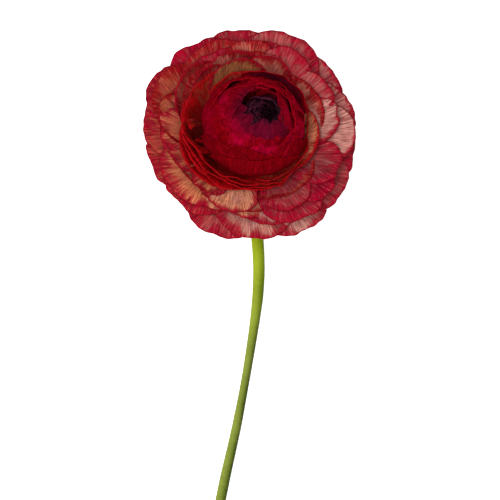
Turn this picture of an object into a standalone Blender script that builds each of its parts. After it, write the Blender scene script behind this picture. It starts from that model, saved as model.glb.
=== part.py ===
"""Persian buttercup (Ranunculus asiaticus): one cut flower lying on a surface.

The bloom is a nest of petals on a short receptacle, with five sepals below it
and a bare stalk that bends at the neck and lies along the ground.  Every petal
is a rounded patch of a cup turned about the bloom's axis.  A whorl runs from
its outer cup to its inner one, so each petal sits inside the one before it.

Tables are in millimetres and degrees, the scene is in metres, +Z up.
"""
import math
import random

import bmesh
import bpy
import numpy as np
from mathutils import Matrix, Vector

MM = 0.001
SEED = 23
GOLDEN = 137.508

# ---------------------------------------------------------------- placement
RECEPTACLE = (-0.6, 60.2, 14.4)   # where the bloom's axis starts
TILT_TO_Y = 24.0                   # the axis leans this far towards +Y
LEAN_TO_X = 8.5                    # and this far towards +X
GAP = 0.35                         # clear space between neighbouring pieces

# ------------------------------------------------------------------- petals
BLADE = 0.7                        # petal thickness
SEPAL_BLADE = 0.9
CLAW = 0.4                         # width at the root, as a share of the blade
CLAW_END = 0.5                     # share of the length where it is full width
SQUARE = 0.7                       # 1 gives an elliptic tip, 0 a square one

# Each whorl: azimuth of the first petal of each row and petals a row, half width
# in degrees, and the (radius, height) control points of its outer and inner cup.
# "up" raises the far side and lowers the near one, "oval" lengthens both, "push"
# shifts the rim of the whorl towards an azimuth, "open" widens the inner petals.
WHORLS = {
    "back": dict(rows=(65, 245), count=3, step=50.0, half=31, up=0.0, oval=0.0,
                 push=(0.0, 0), open=0.0, jitter=0, sway=0.4,
                 outer=((4.5, -0.7), (16, 0.2), (28, 1.8), (38.5, -1.6)),
                 inner=((4.5, -0.7), (16, 0.2), (28, 1.8), (38.5, -0.6))),
    "guard": dict(rows=(98, 122), count=7, step=51.43, half=28.5, up=4.5, oval=1.5,
                  push=(1.3, 120), open=0.0, jitter=2, sway=0.8,
                  outer=((4.5, 0.2), (16, 1.6), (31, 5.2), (44.6, 8.0)),
                  inner=((4.5, 1.0), (16, 2.8), (30.4, 7.0), (43.8, 10.8))),
    "wide": dict(rows=(5, 42), count=5, step=72.0, half=34, up=3.6, oval=0.6,
                 push=(0.5, 120), open=0.0, jitter=3, sway=0.8,
                 outer=((4.5, 1.9), (16, 3.9), (28.5, 8.9), (39.0, 13.0)),
                 inner=((4.5, 2.7), (16, 5.0), (27, 10.2), (36.0, 15.0))),
    "bowl": dict(rows=(82, 37), count=4, step=90.0, half=40, up=2.6, oval=0.0,
                 push=(0.6, 190), open=0.0, jitter=3, sway=0.6,
                 outer=((4.5, 3.4), (16, 5.5), (27.0, 9.9), (33.8, 15.8)),
                 inner=((4.5, 4.0), (17, 6.0), (25.6, 9.9), (30.8, 17.2))),
    "ring": dict(rows=(215,), count=10, step=GOLDEN, half=46, up=2.0, oval=0.0,
                 push=(1.7, 215), open=0.0, jitter=3, sway=0.3,
                 outer=((4.5, 7.2), (17, 8.7), (23.2, 11.6), (28.3, 16.8)),
                 inner=((4.3, 9.2), (18, 10.2), (22.4, 14.6), (22.6, 20.6))),
    "ball": dict(rows=(200,), count=11, step=GOLDEN, half=62, up=0.6, oval=0.0,
                 push=(0.0, 0), open=0.25, jitter=3, sway=0.0,
                 outer=((4.2, 9.4), (23.0, 9.8), (24.2, 21.5), (15.2, 28.6)),
                 inner=((3.2, 12.2), (15.5, 13.0), (17.6, 31.2), (6.6, 32.8))),
    "heart": dict(rows=(40,), count=10, step=GOLDEN, half=66, up=0.0, oval=0.0,
                  push=(0.0, 0), open=0.0, jitter=0, sway=0.0,
                  outer=((3.4, 20.4), (12.0, 20.8), (12.2, 29.4), (5.2, 33.0)),
                  inner=((1.4, 21.5), (3.2, 22.0), (3.4, 29.0), (1.1, 31.8))),
}

# Turned cores that the petals are rooted in: (radius, height) from the axis out.
OUTER_CORE = ((0, -1.6), (4.8, -1.6), (9.0, -0.7), (11.8, 1.4), (12.0, 4.6), (11.0, 5.8), (8.0, 5.3), (0, 5.3))
INNER_CORE = ((0, 5.7), (7.6, 5.7), (11.4, 7.4), (13.4, 9.8), (13.2, 13.0), (11.6, 16.6), (9.6, 19.0), (0, 19.0))
HEART_CORE = ((0, 19.4), (4.6, 19.4), (5.2, 21.0), (4.2, 25.0), (2.2, 28.0), (0, 28.0))
CALYX_CORE = ((0, -4.6), (3.2, -4.6), (4.8, -3.6), (5.6, -2.6), (5.2, -2.0), (0, -2.0))
CORE_STEPS = 14

# ------------------------------------------------------------ calyx and stalk
SEPALS = 5
SEPAL_FIRST = 54.0
SEPAL_CUP = ((3.4, -3.3), (8.0, -3.6), (13.0, -4.6), (16.5, -7.4))
SEPAL_HALF = 30

# Stalk: (x, y, radius) of its centre line where it lies on the ground.  It
# sinks by STALK_FLAT, which the ground face takes off.
STALK_FLAT = 0.12
STALK = (
    (1.25, 42.8, 2.35), (3.10, 32.3, 2.38), (4.00, 21.8, 2.38), (4.45, 11.9, 2.20),
    (3.90, 0.3, 2.02), (2.60, -8.2, 1.86), (0.30, -18.2, 1.76), (-2.70, -34.2, 1.72),
    (-6.40, -55.2, 1.80), (-10.30, -75.7, 1.95), (-13.70, -93.7, 2.02), (-16.50, -107.0, 2.05),
)
NECK_RADIUS = 2.55
NECK_BEND = 12.6                   # radius of the bend below the receptacle
STALK_SIDES = 10

# -------------------------------------------------------------------- finish
FINISH = {
    "stem": ((0.29, 0.35, 0.03), 0.5),
    "calyx": ((0.22, 0.30, 0.04), 0.55),
    "outer_petals": ((0.52, 0.13, 0.09), 0.55),
    "inner_petals": ((0.27, 0.004, 0.012), 0.5),
    "centre": ((0.02, 0.003, 0.008), 0.6),
}


def clear_scene():
    """Empty the scene and give it a collection for the part and one for tools."""
    for obj in list(bpy.data.objects):
        bpy.data.objects.remove(obj, do_unlink=True)
    parts = bpy.data.collections.new("persian_buttercup")
    tools = bpy.data.collections.new("cutters")
    for collection in (parts, tools):
        bpy.context.scene.collection.children.link(collection)
    tools.hide_render = True
    return parts, tools


def add_object(mesh, name, collection, parent=None):
    """Link a mesh as a named object, under a parent where one is given."""
    obj = bpy.data.objects.new(name, mesh)
    collection.objects.link(obj)
    obj.parent = parent
    return obj


def apply_modifiers(obj):
    """Replace the object's mesh by its evaluated one, with no modifiers left."""
    bpy.context.view_layer.update()
    graph = bpy.context.evaluated_depsgraph_get()
    mesh = bpy.data.meshes.new_from_object(obj.evaluated_get(graph), depsgraph=graph)
    obj.modifiers.clear()
    old, obj.data = obj.data, mesh
    if isinstance(old, bpy.types.Mesh):
        bpy.data.meshes.remove(old)


def make_material(name):
    """Principled material of one piece."""
    colour, roughness = FINISH[name]
    material = bpy.data.materials.new(name)
    material.use_nodes = True
    shader = material.node_tree.nodes["Principled BSDF"]
    shader.inputs["Base Color"].default_value = (*colour, 1.0)
    shader.inputs["Roughness"].default_value = roughness
    shader.inputs["Metallic"].default_value = 0.0
    return material


# --------------------------------------------------------------------- petals
def cup_curve(points, samples=60):
    """Cubic curve through a cup's control points: share of length, radius, height."""
    p = np.array(points, float)
    t = np.linspace(0.0, 1.0, samples + 1)[:, None]
    xy = (1 - t) ** 3 * p[0] + 3 * t * (1 - t) ** 2 * p[1] + 3 * t * t * (1 - t) * p[2] + t ** 3 * p[3]
    run = np.concatenate([[0.0], np.cumsum(np.hypot(*np.diff(xy, axis=0).T))])
    return run / run[-1], xy[:, 0], xy[:, 1]


def whorl_petals(name):
    """Azimuth, half width, sway and cup of every petal of a whorl, outermost first."""
    spec = WHORLS[name]
    draw = random.Random(f"{name}-{SEED}")
    rows, count = spec["rows"], spec["count"]
    petals = []
    for row, first in enumerate(rows):
        for i in range(count):
            azimuth = first + spec["step"] * i + draw.uniform(-1, 1) * spec["jitter"]
            share = row / (len(rows) - 1) if len(rows) > 1 else i / (count - 1)
            cup = np.array(spec["outer"]) * (1 - share) + np.array(spec["inner"]) * share
            up = spec["up"] * math.sin(math.radians(azimuth))
            push, towards = spec["push"]
            reach = draw.uniform(-1, 1) * spec["sway"] - spec["oval"] * math.cos(math.radians(2 * azimuth))
            reach += push * math.cos(math.radians(azimuth - towards))
            cup[1:, 1] += up * np.array((0.15, 0.5, 1.0))
            cup[2:, 0] += reach * np.array((0.5, 1.0))
            petals.append(dict(azimuth=azimuth, half=spec["half"] * draw.uniform(0.96, 1.04) * (1 + spec["open"] * share),
                               sway=spec["sway"], phase=draw.uniform(0, 6.28), cup=cup))
    return petals


def bend_petal(bm, petal):
    """Move a flat blank, square from -1 to 1, on to the petal's cup."""
    share, radius, height = cup_curve(petal["cup"])
    for vert in bm.verts:
        u, v = vert.co.x, 0.5 * (vert.co.y + 1.0)
        across = u * math.sqrt(1 - SQUARE * v * v / 2)
        along = v * math.sqrt(1 - SQUARE * u * u / 2)
        full = min(along / CLAW_END, 1.0)
        width = CLAW + (1 - CLAW) * math.sin(0.5 * math.pi * full) ** 1.2
        turn = math.radians(petal["azimuth"] + 1.1 * petal["half"] * across * width)
        rim = max(abs(u), v) ** 3
        wave = petal["sway"] * rim * math.sin(3.2 * math.atan2(across, along + 0.15) + petal["phase"])
        r = float(np.interp(along, share, radius))
        h = float(np.interp(along, share, height)) + wave
        vert.co = (r * math.cos(turn) * MM, r * math.sin(turn) * MM, h * MM)


def petal_object(name, petal, across, along, thickness, collection, parent):
    """One petal: a bent grid in triangles, given its thickness."""
    bm = bmesh.new()
    bmesh.ops.create_grid(bm, x_segments=across, y_segments=along, size=1.0)
    bmesh.ops.triangulate(bm, faces=bm.faces[:], quad_method="ALTERNATE")
    bend_petal(bm, petal)
    bmesh.ops.recalc_face_normals(bm, faces=bm.faces[:])
    mesh = bpy.data.meshes.new(name)
    bm.to_mesh(mesh)
    bm.free()
    obj = add_object(mesh, name, collection, parent)
    solid = obj.modifiers.new("Blade", "SOLIDIFY")
    solid.thickness = thickness * MM
    solid.offset = 0.0
    return obj


def turned(name, profile, collection, parent):
    """Solid of revolution about the axis from a (radius, height) profile."""
    mesh = bpy.data.meshes.new(name)
    points = [(r * MM, 0.0, h * MM) for r, h in profile]
    mesh.from_pydata(points, [(i, i + 1) for i in range(len(points) - 1)], [])
    obj = add_object(mesh, name, collection, parent)
    screw = obj.modifiers.new("Turn", "SCREW")
    screw.axis = "Z"
    screw.steps = screw.render_steps = CORE_STEPS
    screw.use_merge_vertices = True
    screw.merge_threshold = 1e-6
    screw.use_normal_calculate = True
    apply_modifiers(obj)
    bm = bmesh.new()
    bm.from_mesh(obj.data)
    bmesh.ops.recalc_face_normals(bm, faces=bm.faces[:])
    bm.to_mesh(obj.data)
    bm.free()
    return obj


def fuse(core, petals):
    """Join petals to their core in one union and drop the petals."""
    group = bpy.data.collections.new(core.name + "_petals")
    bpy.context.scene.collection.children.link(group)
    for petal in petals:
        apply_modifiers(petal)
        for owner in list(petal.users_collection):
            owner.objects.unlink(petal)
        group.objects.link(petal)
    union = core.modifiers.new("Fuse", "BOOLEAN")
    union.operation = "UNION"
    union.operand_type = "COLLECTION"
    union.collection = group
    union.solver = "MANIFOLD"
    apply_modifiers(core)
    for petal in petals:
        bpy.data.objects.remove(petal, do_unlink=True)
    bpy.data.collections.remove(group)
    fill_pockets(core)


def fill_pockets(obj):
    """Keep the outer surface only, so a pocket closed between petals is solid."""
    bm = bmesh.new()
    bm.from_mesh(obj.data)
    bmesh.ops.triangulate(bm, faces=bm.faces[:])
    islands, seen = [], set()
    for first in bm.faces:
        if first in seen:
            continue
        island, stack = [], [first]
        seen.add(first)
        while stack:
            face = stack.pop()
            island.append(face)
            for near in (f for edge in face.edges for f in edge.link_faces):
                if near not in seen:
                    seen.add(near)
                    stack.append(near)
        islands.append(island)
    islands.sort(key=len)
    bmesh.ops.delete(bm, geom=[face for island in islands[:-1] for face in island], context="FACES")
    bm.to_mesh(obj.data)
    bm.free()


def bloom_node(name, profile, whorls, across, along, collection, parent):
    """A turned core with all the petals of its whorls."""
    core = turned(name, profile, collection, parent)
    petals = []
    for whorl in whorls:
        for i, petal in enumerate(whorl_petals(whorl)):
            petals.append(petal_object(f"{whorl}_{i}", petal, across, along, BLADE, collection, parent))
    fuse(core, petals)
    core.data.materials.clear()
    core.data.materials.append(make_material(name))
    return core


def calyx_node(collection, parent):
    """Receptacle cup with its five reflexed sepals."""
    core = turned("calyx", CALYX_CORE, collection, parent)
    sepals = []
    for i in range(SEPALS):
        sepal = dict(azimuth=SEPAL_FIRST + 360.0 / SEPALS * i, half=SEPAL_HALF, sway=0.3,
                     phase=1.3 * i, cup=np.array(SEPAL_CUP, float))
        sepals.append(petal_object(f"sepal_{i}", sepal, 3, 4, SEPAL_BLADE, collection, parent))
    fuse(core, sepals)
    core.data.materials.clear()
    core.data.materials.append(make_material("calyx"))
    return core


# ---------------------------------------------------------------------- stalk
def neck_points(axis, base):
    """Centre line from the receptacle round the bend to the ground: (point, radius)."""
    down = -axis
    level = Vector((0.35, -1.0, 0.0)).normalized()
    start = base + down * (-CALYX_CORE[0][1] + GAP)
    floor = STALK[0][2] - STALK_FLAT
    points = [(start, NECK_RADIUS)]
    steps = 5
    for i in range(1, steps):
        share = i / steps
        turn = down.lerp(level, share ** 1.15).normalized()
        last = points[-1][0]
        points.append((last + turn * NECK_BEND * 0.245, NECK_RADIUS - 0.05 * i))
    drop = points[0][0].z - points[-1][0].z
    scale = (start.z - floor - 0.35) / drop
    return [(Vector((p.x, p.y, start.z - (start.z - p.z) * scale)), r) for p, r in points]


def stalk_node(collection, axis, base):
    """Stalk as a bevelled curve, its lowest side flat on the ground."""
    curve = bpy.data.curves.new("stem", "CURVE")
    curve.dimensions = "3D"
    curve.bevel_depth = MM
    curve.bevel_resolution = (STALK_SIDES - 4) // 2
    curve.resolution_u = 2
    curve.use_fill_caps = True
    path = neck_points(axis, base)
    path += [(Vector((x, y, r - STALK_FLAT)), r) for x, y, r in STALK]
    spline = curve.splines.new("BEZIER")
    spline.bezier_points.add(len(path) - 1)
    for knot, (point, radius) in zip(spline.bezier_points, path):
        knot.co = point * MM
        knot.radius = radius
        knot.handle_left_type = knot.handle_right_type = "AUTO"
    top = spline.bezier_points[0]
    top.handle_left_type = top.handle_right_type = "FREE"
    top.handle_left = top.co + axis * 2 * MM
    top.handle_right = top.co - axis * 2 * MM
    obj = add_object(curve, "stem", collection)
    bpy.context.view_layer.update()
    graph = bpy.context.evaluated_depsgraph_get()
    mesh = bpy.data.meshes.new_from_object(obj.evaluated_get(graph), depsgraph=graph)
    bpy.data.objects.remove(obj, do_unlink=True)
    bm = bmesh.new()
    bm.from_mesh(mesh)
    bmesh.ops.remove_doubles(bm, verts=bm.verts[:], dist=1e-6)
    bmesh.ops.recalc_face_normals(bm, faces=bm.faces[:])
    bm.to_mesh(mesh)
    bm.free()
    mesh.materials.clear()
    mesh.materials.append(make_material("stem"))
    return add_object(mesh, "stem", collection)


def rest_on_ground(objects, tools):
    """Take off what reaches below the ground, which leaves small flat rests."""
    mesh = bpy.data.meshes.new("ground")
    bm = bmesh.new()
    bmesh.ops.create_cube(bm, size=1.0, matrix=Matrix.Diagonal((0.6, 0.6, 0.02, 1.0)))
    bm.to_mesh(mesh)
    bm.free()
    ground = add_object(mesh, "ground", tools)
    ground.location.z = -0.01
    ground.hide_render = True
    ground.display_type = "WIRE"
    for obj in objects:
        cut = obj.modifiers.new("Rest", "BOOLEAN")
        cut.operation = "DIFFERENCE"
        cut.object = ground
        cut.solver = "MANIFOLD"
        apply_modifiers(obj)


def build():
    """Model the whole flower."""
    parts, tools = clear_scene()
    bloom = bpy.data.objects.new("bloom_axis", None)
    parts.objects.link(bloom)
    bloom.empty_display_size = 0.02
    bloom.location = Vector(RECEPTACLE) * MM
    turn = Matrix.Rotation(math.radians(-TILT_TO_Y), 3, "X") @ Matrix.Rotation(math.radians(LEAN_TO_X), 3, "Y")
    bloom.rotation_euler = turn.to_euler()
    bpy.context.view_layer.update()

    outer = bloom_node("outer_petals", OUTER_CORE, ("back", "guard", "wide", "bowl"), 5, 6, parts, bloom)
    bloom_node("inner_petals", INNER_CORE, ("ring", "ball"), 5, 5, parts, bloom)
    bloom_node("centre", HEART_CORE, ("heart",), 4, 3, parts, bloom)
    calyx_node(parts, bloom)
    stalk = stalk_node(parts, turn @ Vector((0, 0, 1)), Vector(RECEPTACLE))
    rest_on_ground((outer, stalk), tools)


build()
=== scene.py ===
"""Visual model of one cut Persian buttercup lying on a pale surface.

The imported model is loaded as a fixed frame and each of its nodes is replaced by
finer pieces of the same form.  Lengths are in millimetres until they reach a mesh.
"""
from __future__ import annotations

import logging
import math
import random
from dataclasses import dataclass, replace
from enum import Enum
from functools import partial

import bmesh
import bpy
import numpy as np
from bpy.types import Material, Mesh, Node, NodeSocket, NodeTree, Object
from mathutils import Matrix, Vector


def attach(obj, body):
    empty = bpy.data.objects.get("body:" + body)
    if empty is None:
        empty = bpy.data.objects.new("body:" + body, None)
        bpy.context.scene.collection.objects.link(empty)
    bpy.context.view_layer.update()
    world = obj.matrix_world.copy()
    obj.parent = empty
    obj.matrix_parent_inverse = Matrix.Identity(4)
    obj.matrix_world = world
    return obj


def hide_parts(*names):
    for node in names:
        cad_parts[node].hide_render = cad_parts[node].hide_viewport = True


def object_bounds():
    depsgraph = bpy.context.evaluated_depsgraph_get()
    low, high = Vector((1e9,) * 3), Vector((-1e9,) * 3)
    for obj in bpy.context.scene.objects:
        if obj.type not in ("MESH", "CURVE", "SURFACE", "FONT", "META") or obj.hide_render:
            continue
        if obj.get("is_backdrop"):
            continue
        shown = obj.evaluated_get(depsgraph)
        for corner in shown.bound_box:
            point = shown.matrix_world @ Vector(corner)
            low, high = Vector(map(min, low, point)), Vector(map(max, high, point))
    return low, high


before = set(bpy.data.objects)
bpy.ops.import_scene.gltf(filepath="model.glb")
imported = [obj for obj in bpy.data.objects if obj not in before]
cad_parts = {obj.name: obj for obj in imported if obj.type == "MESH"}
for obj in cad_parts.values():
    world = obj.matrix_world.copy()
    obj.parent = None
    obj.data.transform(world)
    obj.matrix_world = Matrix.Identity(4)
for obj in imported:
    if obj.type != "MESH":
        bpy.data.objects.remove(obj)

LOG = logging.getLogger("persian_buttercup")
MM = 0.001
CM_IN_MM = 10.0
SEED = 23
# The golden angle, by which petals follow each other round a bud, in degrees.
GOLDEN = 137.508
Pair = tuple[float, float]
Triple = tuple[float, float, float]
Cup = tuple[Pair, Pair, Pair, Pair]
Array = np.ndarray
# Settings of a Math node that multiplies (it adds without one), of a Map Range node
# that eases in and out, and of a Mix node for colours.
TIMES = {"operation": "MULTIPLY"}
EASED = {"interpolation_type": "SMOOTHSTEP"}
COLOURS = {"data_type": "RGBA"}

# One radian of a petal's fan of veins at its edge, and a petal's length, in mm.
FAN_MM = 26.0
PETAL_MM = 46.0
# Cells of the petals' patterns, across and along the fan of veins, in mm.
# Patches are the stretches of the edge from which the stain reaches further in.
PATCH_MM = (5.8, 31.0)
STREAK_MM = (0.72, 21.0)
VEIN_MM = (0.5, 16.4)
# Flecks of painted highlight.
GLINT_MM = (0.9, 5.0)
# Rows of cells are about 0.05 mm wide, too fine to show, so the stained ones and
# the threads of the tissue are drawn five to six times as wide.
HAIR_MM = (0.27, 9.2)
THREAD_MM = (0.29, 7.7)
# Clouds of blush, spots of stain and the crinkles of the tissue, in mm.
CLOUD_MM = 9.0
BLOTCH_MM = 1.9
CRINKLE_MM = 2.4
# Waves round a petal's fan, each as its pace and its height: the bites out of
# the edge, and the frill that lifts it.
BITES = ((4.3, 1.1), (10.7, 0.35), (23.0, 0.28), (41.0, 0.26))
RIPPLES = ((6.5, 0.8), (15.0, 0.3), (31.0, 0.14))
# Sides of the bloom with more or less stain: direction, width (degrees) and share.
STAINED_SIDES = ((124, 42, 0.65), (318, 28, 0.85), (196, 34, 0.32), (58, 32, 0.4),
                 (270, 20, -0.5), (0, 20, -0.3))


class Aspect(Enum):
    """Which CAD node a whorl stands for."""

    OUTER = "outer_petals"
    INNER = "inner_petals"
    CENTRE = "centre"


OUTER, INNER, CENTRE = Aspect
# Squares across and along a flat petal blank: more for larger petals.
SQUARES = {OUTER: (60, 32), INNER: (48, 28), CENTRE: (34, 24)}


# --- helpers
def linear(code: str) -> tuple[float, float, float, float]:
    """Turn an sRGB hex colour to linear RGBA.

    Args:
        code: colour such as "#a0483b".

    Returns:
        Linear red, green, blue and an alpha of 1.
    """
    parts = [int(code[i:i + 2], 16) / 255 for i in (1, 3, 5)]
    rgb = [c / 12.92 if c <= 0.04045 else ((c + 0.055) / 1.055) ** 2.4 for c in parts]
    return (*rgb, 1.0)


def add_node(tree: NodeTree, kind: str, *values: object, named: dict[str, object] | None = None,
             **settings: object) -> Node:
    """Add one shader node with its settings, values and links.

    Args:
        tree: node tree of the material.
        kind: the node's type without "ShaderNode" in front, such as "Math".
        values: what its sockets in use get, in their order: a number, a hex colour,
            or a socket or a node that is linked.
        named: the same for sockets that are given by name.
        settings: attributes of the node, such as operation="MULTIPLY".

    Returns:
        The new node.
    """
    node = tree.nodes.new("ShaderNode" + kind)
    for name, value in settings.items():
        setattr(node, name, value)
    pairs = list(zip([socket for socket in node.inputs if socket.enabled], values))
    pairs += [(node.inputs[name], value) for name, value in (named or {}).items()]
    for socket, value in pairs:
        if isinstance(value, str):
            value = linear(value)
        if isinstance(value, Node):
            value = next(output for output in value.outputs if output.enabled)
        if isinstance(value, NodeSocket):
            tree.links.new(value, socket)
        else:
            socket.default_value = value
    return node


def new_material(name: str) -> tuple[Material, partial]:
    """Start an empty node material, with add_node for its tree."""
    material = bpy.data.materials.new(name)
    material.use_nodes = True
    material.node_tree.nodes.clear()
    return material, partial(add_node, material.node_tree)


def deselect() -> None:
    """Leave edit mode and deselect every object."""
    if bpy.context.mode != "OBJECT":
        bpy.ops.object.mode_set(mode="OBJECT")
    bpy.ops.object.select_all(action="DESELECT")


def select_only(*objects: Object) -> None:
    """Select these objects alone and make the first one active."""
    deselect()
    for obj in objects:
        obj.select_set(True)
    bpy.context.view_layer.objects.active = objects[0]


def join(objects: list[Object], name: str, material: Material) -> Object:
    """Join objects to one piece.

    Args:
        objects: what is joined.
        name: name of the piece.
        material: its one material.

    Returns:
        The piece, selected and active.
    """
    select_only(*objects)
    if len(objects) > 1:
        bpy.ops.object.join()
    piece = bpy.context.object
    piece.name = name
    piece.data.materials.clear()
    piece.data.materials.append(material)
    return piece


def mesh_points(mesh: Mesh) -> Array:
    """Vertex coordinates of a mesh as an N by 3 array."""
    flat = np.empty(len(mesh.vertices) * 3)
    mesh.vertices.foreach_get("co", flat)
    return flat.reshape(-1, 3)


def set_points(mesh: Mesh, points: Array) -> None:
    """Move a mesh's vertices to an N by 3 array of coordinates."""
    mesh.vertices.foreach_set("co", points.ravel())
    mesh.update()


def set_values(mesh: Mesh, name: str, values: Array) -> None:
    """Store one number a vertex under a name that a material can read."""
    layer = mesh.attributes.new(name, "FLOAT", "POINT")
    layer.data.foreach_set("value", np.ascontiguousarray(values, dtype=np.float32))


def smoothstep(low: float, high: float, value: Array) -> Array:
    """Ease from 0 at low to 1 at high."""
    t = np.clip((value - low) / (high - low), 0.0, 1.0)
    return t * t * (3 - 2 * t)


def bell(azimuth: float | Array, middle: float, width: float) -> float | Array:
    """Fall from 1 in one direction to 0 away from it, all in degrees."""
    return np.exp(-(((azimuth - middle + 180) % 360 - 180) / width) ** 2)


def waves(angle: Array, table: tuple[Pair, ...], phases: tuple[float, ...]) -> Array:
    """Sum of sines of an angle, each with its pace, its height and its phase."""
    return sum(high * np.sin(angle * pace + phase) for (pace, high), phase in zip(table, phases))


# --- placement
@dataclass(frozen=True)
class BloomAxis:
    """Place and lean of the bloom, from the CAD model's lowest corner (mm, degrees)."""

    corner: Vector
    from_corner: Triple = (41.2, 167.6, 14.4)
    tilt_to_y: float = 24.0
    lean_to_x: float = 8.5

    def origin(self) -> Vector:
        """Start of the bloom's axis, at the receptacle."""
        return self.corner + Vector(self.from_corner)

    def turn(self) -> Matrix:
        """Rotation from the upright bloom to the lying one."""
        tilt = Matrix.Rotation(math.radians(-self.tilt_to_y), 3, "X")
        return tilt @ Matrix.Rotation(math.radians(self.lean_to_x), 3, "Y")

    def place(self, points: Array) -> Array:
        """Take points of the upright bloom to the lying one, from millimetres to metres."""
        return (points @ np.array(self.turn()).T + np.array(self.origin())) * MM


# --- finishes
def fan_noise(add: partial, read: dict[str, object], cell_mm: Pair, detail: float) -> Node:
    """Noise drawn out along the petal's fan of veins.

    Args:
        add: adds a node to the material.
        read: the petal's attributes and its seat in the noise.
        cell_mm: size of a cell across and along the fan, in millimetres.
        detail: octaves of the noise.

    Returns:
        Node with the noise, 0 to 1.
    """
    fan = add("Math", read["fan"], FAN_MM / cell_mm[0], **TIMES)
    run = add("Math", read["run"], PETAL_MM / cell_mm[1], **TIMES)
    spot = add("CombineXYZ", fan, run, read["seat"])
    return add("TexNoise", spot, 1.0, detail, 0.6)


@dataclass(frozen=True)
class PetalFinish:
    """Living petal: thin, moist tissue, matt, with fanned veins and a stained edge.

    The eye sees a pale body, veins about half a millimetre apart that fan from the
    claw, and pigment that runs in from the edge along them.
    """

    name: str
    root: str
    body: str
    blush: str
    edge: str
    rim: str
    # Colour of the dark centre, also laid as painted shade in the crevices.
    plum: str = "#33131b"
    rim_mm: float = 0.5
    run_mm: float = 9.0
    stain: float = 1.0
    wash: float = 0.25
    # Share of pigment lifted in the painted highlights on the crinkles.
    painted_glint: float = 0.0
    vein_depth: float = 0.3
    vein_mm: float = 0.3
    crinkle_mm: float = 0.6
    glow: float = 0.25
    roughness: float = 0.6
    gloss: float = 0.02
    root_end: float = 0.55

    def stain_mask(self, add: partial, read: dict[str, object], blotch: Node) -> Node:
        """Pigment that runs in from the edge, further along some veins.

        Args:
            add: adds a node to the material.
            read: the petal's attributes and its seat in the noise.
            blotch: noise of spots a few millimetres wide, 0 to 1.

        Returns:
            Node with the share of pigment, 0 to 1.
        """
        patch = fan_noise(add, read, PATCH_MM, 2.0)
        streak = fan_noise(add, read, STREAK_MM, 3.0)
        hair = fan_noise(add, read, HAIR_MM, 2.0)

        # The stain reaches further in from some stretches, and the more flushed the petal is.
        reach = add("MapRange", patch, 0.36, 0.64, 0.08 * self.run_mm, 1.5 * self.run_mm)
        flushed = add("Math", read["flush"], 0.38)
        far = add("Math", reach, flushed, **TIMES)
        fall = add("Math", read["margin"], far, operation="DIVIDE")

        # Streaks and spots break up its front, and fine lines are left bare in it.
        streaks = add("Math", streak, 0.9, -0.45, operation="MULTIPLY_ADD")
        spots = add("Math", blotch, 2.2, -1.1, operation="MULTIPLY_ADD")
        rough = add("Math", streaks, spots)
        level = add("Math", rough, fall, operation="SUBTRACT")
        solid = add("MapRange", level, -1.9, 0.0, 0.0, self.stain, **EASED)
        thin = add("Math", hair, 2.4, -0.3, operation="MULTIPLY_ADD", use_clamp=True)
        brim = add("MapRange", fall, 0.0, 0.8, 0.75, 0.0)
        drawn = add("Math", solid, thin, **TIMES)
        soft = add("Math", brim, drawn, operation="MAXIMUM")

        # Wash: a thin, uneven flush over the whole petal.
        dapple = add("Math", rough, 0.7, 1.0, operation="MULTIPLY_ADD")
        washed = add("Math", read["flush"], self.wash, **TIMES)
        uneven = add("Math", washed, dapple, **TIMES, use_clamp=True)
        both = add("Math", soft, uneven, operation="MAXIMUM")

        # Pigment lies over pigment: a half stained spot keeps only a quarter of its bare colour.
        bare = add("Math", 1.0, both, operation="SUBTRACT", use_clamp=True)
        left = add("Math", bare, 2.0, operation="POWER")
        share = add("Math", 1.0, left, operation="SUBTRACT")

        # Painted highlights: flecks about a millimetre wide on the crinkles, where the pigment is painted
        # thinner as where light catches the wrinkled edge.
        glint_noise = fan_noise(add, read, GLINT_MM, 3.0)
        glint_kept = add("MapRange", glint_noise, 0.54, 0.68, 1.0, 1.0 - self.painted_glint, **EASED)
        return add("Math", share, glint_kept, **TIMES)

    def build(self) -> Material:
        """Make the material.

        Returns:
            Petal material that reads the petal's own attributes.
        """
        material, add = new_material(f"petal_tissue_{self.name}")
        read = {key: add("Attribute", attribute_name=key).outputs["Fac"]
                for key in ("fan", "run", "margin", "tone", "flush", "core")}
        read["seat"] = add("Math", read["tone"], 37.0, **TIMES)
        where = add("TexCoord").outputs["Object"]
        cloud = add("TexNoise", where, 1 / (CLOUD_MM * MM), 4.0, 0.6)
        blotch = add("TexNoise", where, 1 / (BLOTCH_MM * MM), 5.0, 0.7)

        # Veins: ridges of a noise drawn out along the fan's lines.
        vein = fan_noise(add, read, VEIN_MM, 1.0)
        away = add("Math", vein, 0.5, operation="SUBTRACT")
        close = add("Math", away, operation="ABSOLUTE")
        ridge = add("MapRange", close, 0.0, 0.08, 1.0, 0.0, **EASED)

        # Body: root colour up to the claw's end, then body with a blush that differs by petal.
        pick = add("Math", cloud, read["tone"])
        warm = add("MapRange", pick, 0.7, 1.2, 0.0, 1.0)
        body = add("Mix", warm, self.body, self.blush, **COLOURS)
        grown = add("MapRange", read["run"], 0.15, self.root_end, 0.0, 1.0, **EASED)
        base = add("Mix", grown, self.root, body, **COLOURS)
        veined = add("Math", ridge, self.vein_depth, **TIMES)
        lined = add("Mix", veined, base, self.edge, **COLOURS)
        stained = self.stain_mask(add, read, blotch)
        colour = add("Mix", stained, lined, self.edge, **COLOURS)

        # Rim: a fine dark line, stronger on some stretches of the edge.
        fade = add("MapRange", cloud, 0.3, 0.6, 0.35, 1.0)
        line = add("MapRange", read["margin"], 0.1, self.rim_mm * 2, 1.0, 0.0, **EASED)
        lip = add("Math", line, fade, **TIMES)
        rimmed = add("Mix", lip, colour, self.rim, **COLOURS)
        # Plum over the rest: the dark centre, and painted shade in the crevices.
        plum_and_shade_mixed = add("Mix", read["core"], rimmed, self.plum, **COLOURS)

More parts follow.
